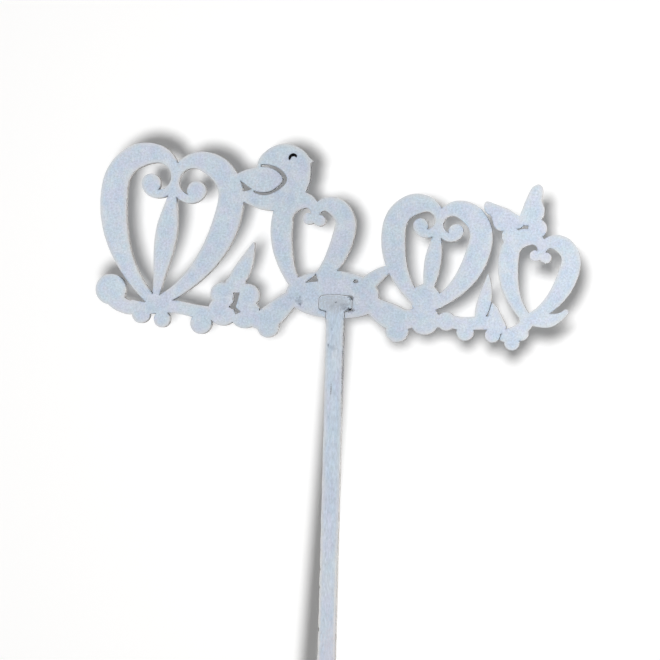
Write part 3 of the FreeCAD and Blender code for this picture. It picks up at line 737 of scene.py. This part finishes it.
PLATE_MARKS = (
    (-10.2, 0.2, 1.0, 1.4, DENT, 0.45),
    (-9.8, -0.5, 0.35, 0.5, DEEP_DENT, 0.8),
    (-9.9, 1.3, 0.3, 0.35, DEEP_DENT, 0.5),
    (-12.6, 1.0, 1.6, 0.5, DENT, 0.2),
    (4.9, 0.4, 0.35, 1.2, DENT, 0.35),
)
PLATE_GRAIN = EVEN, 1.1
plate_outline = Outline("plate_front_ply")
plate_face = Face(plate_outline, plate_outline.soot([leg_outline]))
put_on(
    "ornament_front", plate_face.ply("ornament_front", True), "plate_front_ply", "plate",
    face_finish("painted_front", *PLATE_GRAIN, PLATE_MARKS, PAINTED_LIGHT_ALONG_X),
)
put_on(
    "ornament_back", Face(behind_outline, behind_soot_and_shade).ply("ornament_back", False),
    "plate_back_ply", "plate",
    face_finish("painted_back", *PLATE_GRAIN, (), PAINTED_LIGHT_ALONG_X),
)


# ---- Leg --------------------------------------------------------------------------------------
# The flat leg with its T-shaped head, cut from the same sheet with the grain along it, and pushed
# into the plate's socket. Its left edge has small nicks low down.

NICKS = (
    (-69.0, 0.1, 0.8), (-74.5, 0.08, 0.9), (-79.2, 0.12, 0.7), (-81.4, 0.1, 0.5), (-86.0, 0.08, 1.0),
    (-90.8, 0.13, 0.7), (-97.0, 0.1, 0.8), (-103.5, 0.12, 0.7), (-110.0, 0.1, 0.8),
)
BELOW_HEAD = -4.0
EDGE_WAVE = 0.05
WAVES = 0.9, 0.23
PAINT_FILL = 0.17
FILL_LEAST = 0.3
FILL_RIGHT, FILL_LOW, FILL_FADE = 3.5, -7.0, 2.0

# The head is rubbed dull. Then come knocks, a dark and a pale scratch, the lower rims paled by
# thin paint and painted highlight, the upper right rim darkened with painted shade, a brown line,
# and a paler stretch of the lower leg.
LEG_MARKS = (
    (0.0, -0.2, 5.4, 3.0, srgb(172, 178, 186), 0.8),
    (0.1, 0.1, 0.3, 0.3, srgb(70, 78, 90), 0.8),
    (3.9, 1.6, 0.7, 0.3, DEEP_DENT, 0.7),
    (2.6, -1.2, 1.6, 1.1, DENT, 0.4),
    (-0.6, -1.0, 1.2, 0.7, DENT, 0.2),
    (-1.7, -11.9, 0.35, 0.7, DEEP_DENT, 0.7),
    (-0.3, -12.6, 1.4, 0.9, DENT, 0.25),
    (-0.8, -7.4, 0.3, 0.5, DENT, 0.5),
    (-0.6, -24.0, 0.2, 2.0, srgb(122, 116, 120), 0.75),
    (0.4, -38.0, 0.25, 2.6, srgb(214, 220, 230), 0.5),
    # Painted highlight with thin paint on the lower rims, and painted shade on the upper right rim.
    (-2.3, -88.0, 0.55, 30.0, CREAM, 0.5),
    (2.5, -18.0, 0.3, 15.0, srgb(88, 94, 102), 0.7),
    (2.1, -84.0, 0.3, 26.0, CREAM, 0.6),
    (2.5, -86.0, 0.16, 26.0, TOASTED, 0.7),
    (0.6, -100.0, 2.2, 14.0, srgb(212, 206, 216), 0.45),
)


def nicked(outline):
    """The leg's outline with its nicks, waves and paint.

    A nick is (height from the lock, depth, half width), a bell-shaped dip into the left edge. The
    wave is the product of two slow sines along both edges. Paint fills the gap round the head: its
    share falls to FILL_LEAST towards the right end, and to nothing down at FILL_LOW.
    """
    x, up = outline.points[:, 0], outline.points[:, 1] - LOCK_HEIGHT
    low = up < BELOW_HEAD
    dip = sum(deep * np.exp(-(((up - at) / wide) ** 2)) for at, deep, wide in NICKS) * (low & (x < 0))
    short, long = (up * turn for turn in WAVES)
    wave = EDGE_WAVE * (1 + np.sin(short + np.sign(x)) * np.sin(long)) * low
    across = np.clip((FILL_RIGHT - x) / FILL_FADE, FILL_LEAST, 1)
    filled = PAINT_FILL * across * np.clip((up - FILL_LOW) / FILL_FADE, 0, 1)
    return outline.inset(dip + wave - filled)


leg_soot_and_shade = leg_outline.soot([behind_outline])
leg_face = Face(leg_outline, leg_soot_and_shade)
LEG_GRAIN = (1.0, 1.0, 0.3), 1.05
put_on(
    "leg_core", core_piece("leg_core", leg_outline, CORE_SHRINK, leg_soot_and_shade), "leg_core_ply", "leg",
    CORE_FINISH,
)
put_on(
    "leg_front", leg_face.ply("leg_front", True, nicked(leg_outline)), "leg_front_ply", "leg",
    face_finish("painted_leg_front", *LEG_GRAIN, LEG_MARKS),
)
put_on(
    "leg_back", leg_face.ply("leg_back", False), "leg_back_ply", "leg",
    face_finish("painted_leg_back", *LEG_GRAIN, ()),
)


# ---- Camera, paper and lamps ------------------------------------------------------------------
# The topper is seen almost square on, held a finger's width in front of white paper. One big soft
# lamp stands round the camera, and its twin behind lights the back for the other views. Weaker ones
# at both sides and above light the cut edges, and leave the paper and its shadow alone.

VIEW_CENTRE = Vector((-1.30, -SHEET / 2, 116.65)) * MM
VIEW_WIDTH = 183.6 * MM
VIEW_DISTANCE = 800 * MM
VIEW_TO_RIGHT = math.radians(6.5)
VIEW_ROLL = math.radians(1.5)
LAMP_ACROSS = 400 * MM
LAMP_WATTS = 5.2
SIDE_WATTS = 2.2
AMBIENT = (0.19, 0.186, 0.18, 1.0)
PAPER_GAP = 12 * MM
PAPER_REACH = 0.35
FLOOR_REACH = 0.6
PAPER_GLOW = 0.10
FLOOR_GLOW = 0.6

toward_camera = Vector((math.sin(VIEW_TO_RIGHT), -math.cos(VIEW_TO_RIGHT), 0))
camera = bpy.data.objects.new("camera", bpy.data.cameras.new("camera"))
camera.data.sensor_width = 36.0
camera.data.lens = camera.data.sensor_width * VIEW_DISTANCE / VIEW_WIDTH
camera.data.clip_start, camera.data.clip_end = 0.01, 10.0
camera.location = VIEW_CENTRE + toward_camera * VIEW_DISTANCE
camera.rotation_mode = "QUATERNION"
camera.rotation_quaternion = (-toward_camera).to_track_quat("-Z", "Y") @ Quaternion((0, 0, 1), VIEW_ROLL)
bpy.context.scene.collection.objects.link(camera)
bpy.context.scene.camera = camera


def paper(name, corners, glow):
    """A white sheet that shows only its front: from behind it is clear, and it shades nothing."""
    mesh = bpy.data.meshes.new(name)
    mesh.from_pydata(corners, [], [(0, 1, 2, 3)])
    sheet = bpy.data.objects.new(name, mesh)
    bpy.context.scene.collection.objects.link(sheet)
    sheet.visible_shadow = sheet.visible_diffuse = sheet.visible_glossy = False
    material = bpy.data.materials.new(name)
    material.use_nodes = True
    nodes = Nodes(material.node_tree)
    material.node_tree.nodes.remove(material.node_tree.nodes["Principled BSDF"])
    white = nodes.add("ShaderNodeBsdfDiffuse", Color=(1.0, 1.0, 1.0, 1.0))
    shine = nodes.add("ShaderNodeEmission", Color=(1.0, 1.0, 1.0, 1.0), Strength=glow)
    lit = nodes.add("ShaderNodeAddShader", i0=white.outputs[0], i1=shine.outputs[0])
    behind = nodes.add("ShaderNodeNewGeometry").outputs["Backfacing"]
    clear = nodes.add("ShaderNodeBsdfTransparent")
    shown = nodes.add("ShaderNodeMixShader", i0=behind, i1=lit.outputs[0], i2=clear.outputs[0])
    output = material.node_tree.nodes["Material Output"]
    nodes.link(shown.outputs[0], output.inputs["Surface"])
    mesh.materials.append(material)
    return sheet


gap, wide, far = PAPER_GAP, PAPER_REACH, FLOOR_REACH
papers = (
    paper(
        "back_paper", [(-wide, gap, 0), (wide, gap, 0), (wide, gap, wide), (-wide, gap, wide)],
        PAPER_GLOW,
    ),
    paper("floor_paper", [(-far, -far, 0), (far, -far, 0), (far, far, 0), (-far, far, 0)], FLOOR_GLOW),
)

# The shadow on the paper is turned a little against the topper. A thin card with the topper's
# outline, which only the front lamp sees, hangs behind the plate and throws it. It is turned by that
# much about a point below the lock, is a little wider than the topper, and has only its large holes.
SHADOW_TURN = math.radians(3.2)
SHADOW_PIVOT = np.array([0.0, LOCK_HEIGHT - 16.5])
CARD_Y = 3.0
CARD_WIDER = (0.3, 0.55)
CARD_HOLE = 20.0

card_points, card_triangles = [], []
for outline, wider in zip((behind_outline, leg_outline), CARD_WIDER):
    kept, after = outline.without_small(CARD_HOLE)
    rim = outline.inset(-wider)[kept]
    triangles = fill(rim, after, rim[:0])
    card_triangles.append(triangles + sum(map(len, card_points)))
    card_points.append(rim)
arm = np.concatenate(card_points) - SHADOW_PIVOT
cos, sin = math.cos(SHADOW_TURN), math.sin(SHADOW_TURN)
turned = arm @ np.array([[cos, -sin], [sin, cos]]) + SHADOW_PIVOT
card_mesh = bpy.data.meshes.new("shadow_card")
card_mesh.from_pydata(
    (np.stack([turned[:, 0], np.full(len(turned), CARD_Y), turned[:, 1]], axis=1) * MM).tolist(),
    [], np.concatenate(card_triangles).tolist(),
)
card = bpy.data.objects.new("shadow_card", card_mesh)
bpy.context.scene.collection.objects.link(card)
for ray in ("camera", "diffuse", "glossy", "transmission", "volume_scatter"):
    setattr(card, "visible_" + ray, False)


def lamp(name, place, watts):
    """A round soft lamp at that place, aimed at the topper."""
    light = bpy.data.lights.new(name, "AREA")
    light.shape, light.size, light.energy = "DISK", LAMP_ACROSS, watts
    held = bpy.data.objects.new(name, light)
    held.location = place
    held.rotation_mode = "QUATERNION"
    held.rotation_quaternion = (VIEW_CENTRE - place).to_track_quat("-Z", "Y")
    held.visible_camera = False
    bpy.context.scene.collection.objects.link(held)
    return held


def listed(name, things, state):
    """A list for a lamp's light linking: only those things, or all but those."""
    names = bpy.data.collections.new(name)
    for thing in things:
        names.objects.link(thing)
    for link in names.collection_objects:
        link.light_linking.link_state = state
    return names


front = lamp("front_lamp", camera.location.copy(), LAMP_WATTS)
front.light_linking.blocker_collection = listed("card_alone", [card], "INCLUDE")
no_card = listed("all_but_card", [card], "EXCLUDE")
no_paper = listed("all_but_paper", papers, "EXCLUDE")
back_lamp = lamp("back_lamp", camera.location * Vector((1, -1, 1)), LAMP_WATTS)
back_lamp.light_linking.blocker_collection = no_card
# The back lamp's light falls straight on the back, and no bounce takes it further.
back_lamp.data.cycles.max_bounces = 0
for name, way in (("left_lamp", (-1, 0, 0)), ("right_lamp", (1, 0, 0)), ("top_lamp", (0, 0, 1))):
    side = lamp(name, VIEW_CENTRE + Vector(way) * VIEW_DISTANCE, SIDE_WATTS)
    side.light_linking.blocker_collection = no_card
    side.light_linking.receiver_collection = no_paper

world = bpy.data.worlds.new("studio")
bpy.context.scene.world = world
world.use_nodes = True
world.cycles.sampling_method = "NONE"
around = Nodes(world.node_tree)
path = around.add("ShaderNodeLightPath").outputs
seen = around.math("MAXIMUM", path["Is Camera Ray"], path["Is Transmission Ray"])
seen = around.math("MAXIMUM", seen, path["Is Glossy Ray"])
shade = around.mix(seen, AMBIENT, (1.0, 1.0, 1.0, 1.0))
around.link(shade, world.node_tree.nodes["Background"].inputs["Color"])

bpy.context.scene.view_settings.view_transform = "Standard"
